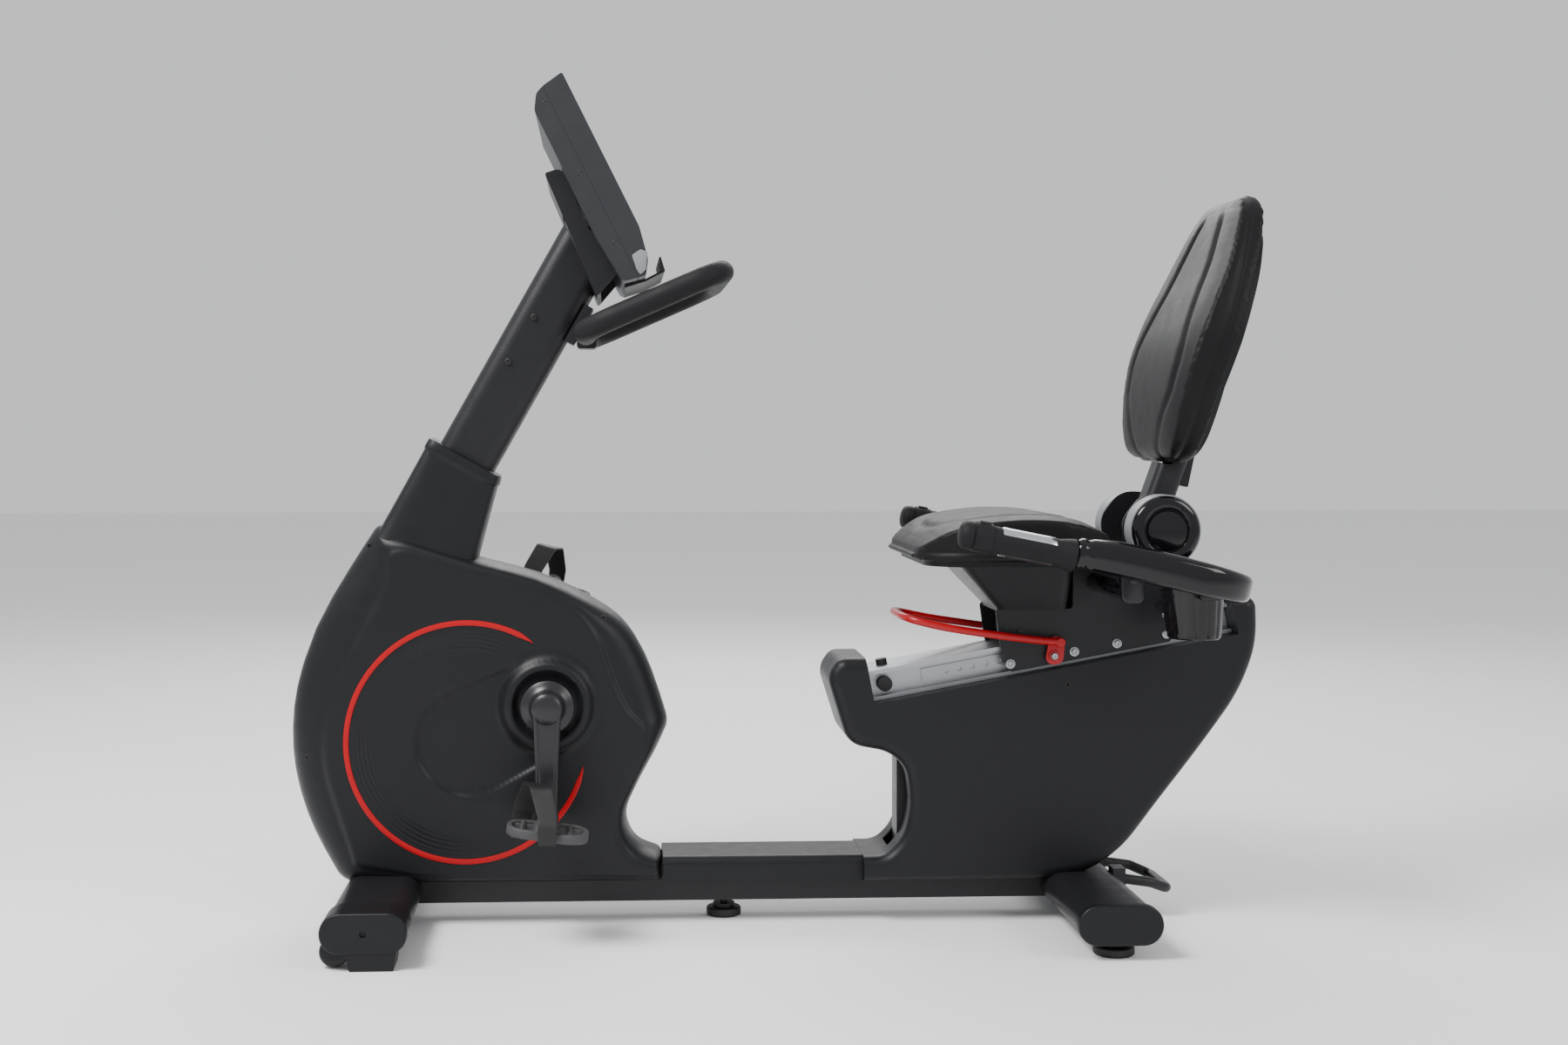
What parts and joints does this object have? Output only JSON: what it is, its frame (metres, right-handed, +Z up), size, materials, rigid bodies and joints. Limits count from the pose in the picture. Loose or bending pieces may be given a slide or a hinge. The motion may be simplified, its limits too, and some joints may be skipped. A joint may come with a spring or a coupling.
{
  "type": "recumbent exercise bike",
  "caption": "Recumbent exercise bike with step-through frame, belt-driven flywheel, sliding padded seat, reclining backrest, side handles and mast console.",
  "frame": {"origin": "centre of the bounding box's footprint, on the floor", "axes": "+X from the console end to the seat end, -Y towards the rider's left hand, +Z up"},
  "size_m": [1.5423, 0.602, 1.3265],
  "materials": {
    "frame_steel": "satin powder coat",
    "cover_plastic": "fine texture",
    "gloss_black": "high gloss",
    "accent_red": "satin",
    "lever_red": "gloss powder coat",
    "screen": "clear gloss",
    "tube_steel": "satin",
    "foam_grip": "matte",
    "rail_aluminium": "satin anodised",
    "plated_steel": "zinc plated",
    "black_rubber": "matte",
    "cast_iron": "machined",
    "brake_metal": "satin",
    "pulley_nylon": "moulded",
    "upholstery": "soft grained synthetic leather",
    "contact_steel": "polished",
    "button_rubber": "matte"
  },
  "bodies": {
    "frame": {"main_frame": "frame_steel", "front_stabilizer": "frame_steel", "rear_stabilizer": "frame_steel", "front_end_caps": "cover_plastic", "rear_end_caps": "cover_plastic", "mast": "frame_steel", "mast_boot": "cover_plastic", "drive_cover_left": "cover_plastic", "drive_cover_right": "cover_plastic", "beam_cover": "cover_plastic", "seat_cover_left": "cover_plastic", "seat_cover_right": "cover_plastic", "accent_ring": "accent_red", "console_back": "cover_plastic", "console_front": "cover_plastic", "console_overlay": "screen", "console_bracket": "frame_steel", "tablet_rest": "frame_steel", "handlebar": "tube_steel", "handlebar_grip": "foam_grip", "seat_rail": "rail_aluminium", "index_strip": "plated_steel", "rail_bumpers": "black_rubber", "bearings": "tube_steel", "brake_unit": "brake_metal", "drive_belt": "black_rubber", "cover_screws": "plated_steel"},
    "crank": {"crank_axle": "tube_steel", "crank_arm_left": "frame_steel", "crank_arm_right": "frame_steel", "drive_pulley": "pulley_nylon", "pedal_spindles": "tube_steel"},
    "pedal_l": {"pedal_left": "cover_plastic", "pedal_strap_left": "black_rubber"},
    "pedal_r": {"pedal_right": "cover_plastic", "pedal_strap_right": "black_rubber"},
    "fly": {"flywheel": "cast_iron"},
    "foot_rl": {"foot_rear_left": "black_rubber"},
    "foot_rr": {"foot_rear_right": "black_rubber"},
    "foot_m": {"foot_middle": "black_rubber"},
    "wheel_l": {"transport_wheel_left": "black_rubber"},
    "wheel_r": {"transport_wheel_right": "black_rubber"},
    "seat": {"seat_carriage": "frame_steel", "glide_pads": "pulley_nylon", "carriage_bolts": "plated_steel", "seat_pedestal": "cover_plastic", "seat_cushion": "upholstery", "seat_handlebar": "gloss_black", "seat_grips": "foam_grip", "pulse_sensors": "contact_steel", "bottle_holder": "gloss_black", "recline_covers": "gloss_black"},
    "rollers_f": {"rollers_front": "tube_steel"},
    "rollers_r": {"rollers_rear": "tube_steel"},
    "button_l": {"grip_button_left": "button_rubber"},
    "button_r": {"grip_button_right": "button_rubber"},
    "backrest": {"backrest_post": "frame_steel", "backrest_shell": "cover_plastic", "backrest_cushion": "upholstery"},
    "lever": {"adjust_lever": "lever_red"}
  },
  "joints": [
    {"name": "crank_spin", "type": "hinge", "parent": "frame", "child": "crank", "pos_m": [-0.364, 0, 0.35], "axis": [0, 1, 0], "continuous": true},
    {"name": "flywheel_spin", "type": "hinge", "parent": "frame", "child": "fly", "pos_m": [-0.588, 0, 0.286], "axis": [0, 1, 0], "continuous": true},
    {"name": "pedal_left_spin", "type": "hinge", "parent": "crank", "child": "pedal_l", "pos_m": [-0.364, -0.176, 0.18], "axis": [0, 1, 0], "continuous": true},
    {"name": "pedal_right_spin", "type": "hinge", "parent": "crank", "child": "pedal_r", "pos_m": [-0.364, 0.176, 0.52], "axis": [0, 1, 0], "continuous": true},
    {"name": "seat_slide", "type": "slide", "parent": "frame", "child": "seat", "axis": [0.9833, 0, 0.1822], "range_m": [-0.19, 0.05]},
    {"name": "rollers_front_spin", "type": "hinge", "parent": "seat", "child": "rollers_f", "pos_m": [0.38848, 0, 0.46055], "axis": [0, 1, 0], "range_deg": [-650, 220]},
    {"name": "rollers_rear_spin", "type": "hinge", "parent": "seat", "child": "rollers_r", "pos_m": [0.61463, 0, 0.50247], "axis": [0, 1, 0], "range_deg": [-650, 220]},
    {"name": "backrest_recline", "type": "hinge", "parent": "seat", "child": "backrest", "pos_m": [0.611, 0, 0.625], "axis": [0, 1, 0], "range_deg": [-6, 20]},
    {"name": "lever_lift", "type": "hinge", "parent": "seat", "child": "lever", "pos_m": [0.44, 0, 0.424], "axis": [0, 1, 0], "range_deg": [0, 12], "stiffness_Nm_per_rad": 1.5, "springref_deg": -28.65},
    {"name": "button_left_press", "type": "slide", "parent": "seat", "child": "button_l", "axis": [-0.1961, 0, -0.9806], "range_m": [0, 0.0015], "stiffness_N_per_m": 400, "springref_m": -0.002},
    {"name": "button_right_press", "type": "slide", "parent": "seat", "child": "button_r", "axis": [-0.1961, 0, -0.9806], "range_m": [0, 0.0015], "stiffness_N_per_m": 400, "springref_m": -0.002},
    {"name": "foot_rear_left_screw", "type": "slide", "parent": "frame", "child": "foot_rl", "axis": [0, 0, -1], "range_m": [0, 0.008]},
    {"name": "foot_rear_right_screw", "type": "slide", "parent": "frame", "child": "foot_rr", "axis": [0, 0, -1], "range_m": [0, 0.008]},
    {"name": "foot_middle_screw", "type": "slide", "parent": "frame", "child": "foot_m", "axis": [0, 0, -1], "range_m": [0, 0.008]},
    {"name": "wheel_left_spin", "type": "hinge", "parent": "frame", "child": "wheel_l", "pos_m": [-0.667, -0.271, 0.024], "axis": [0, 1, 0], "continuous": true},
    {"name": "wheel_right_spin", "type": "hinge", "parent": "frame", "child": "wheel_r", "pos_m": [-0.667, 0.271, 0.024], "axis": [0, 1, 0], "continuous": true}
  ],
  "couplings": [
    {"joint": "flywheel_spin", "follows": "crank_spin", "ratio": 4.5454},
    {"joint": "rollers_front_spin", "follows": "seat_slide", "rad_per_m": 55.556},
    {"joint": "rollers_rear_spin", "follows": "seat_slide", "rad_per_m": 55.556}
  ]
}
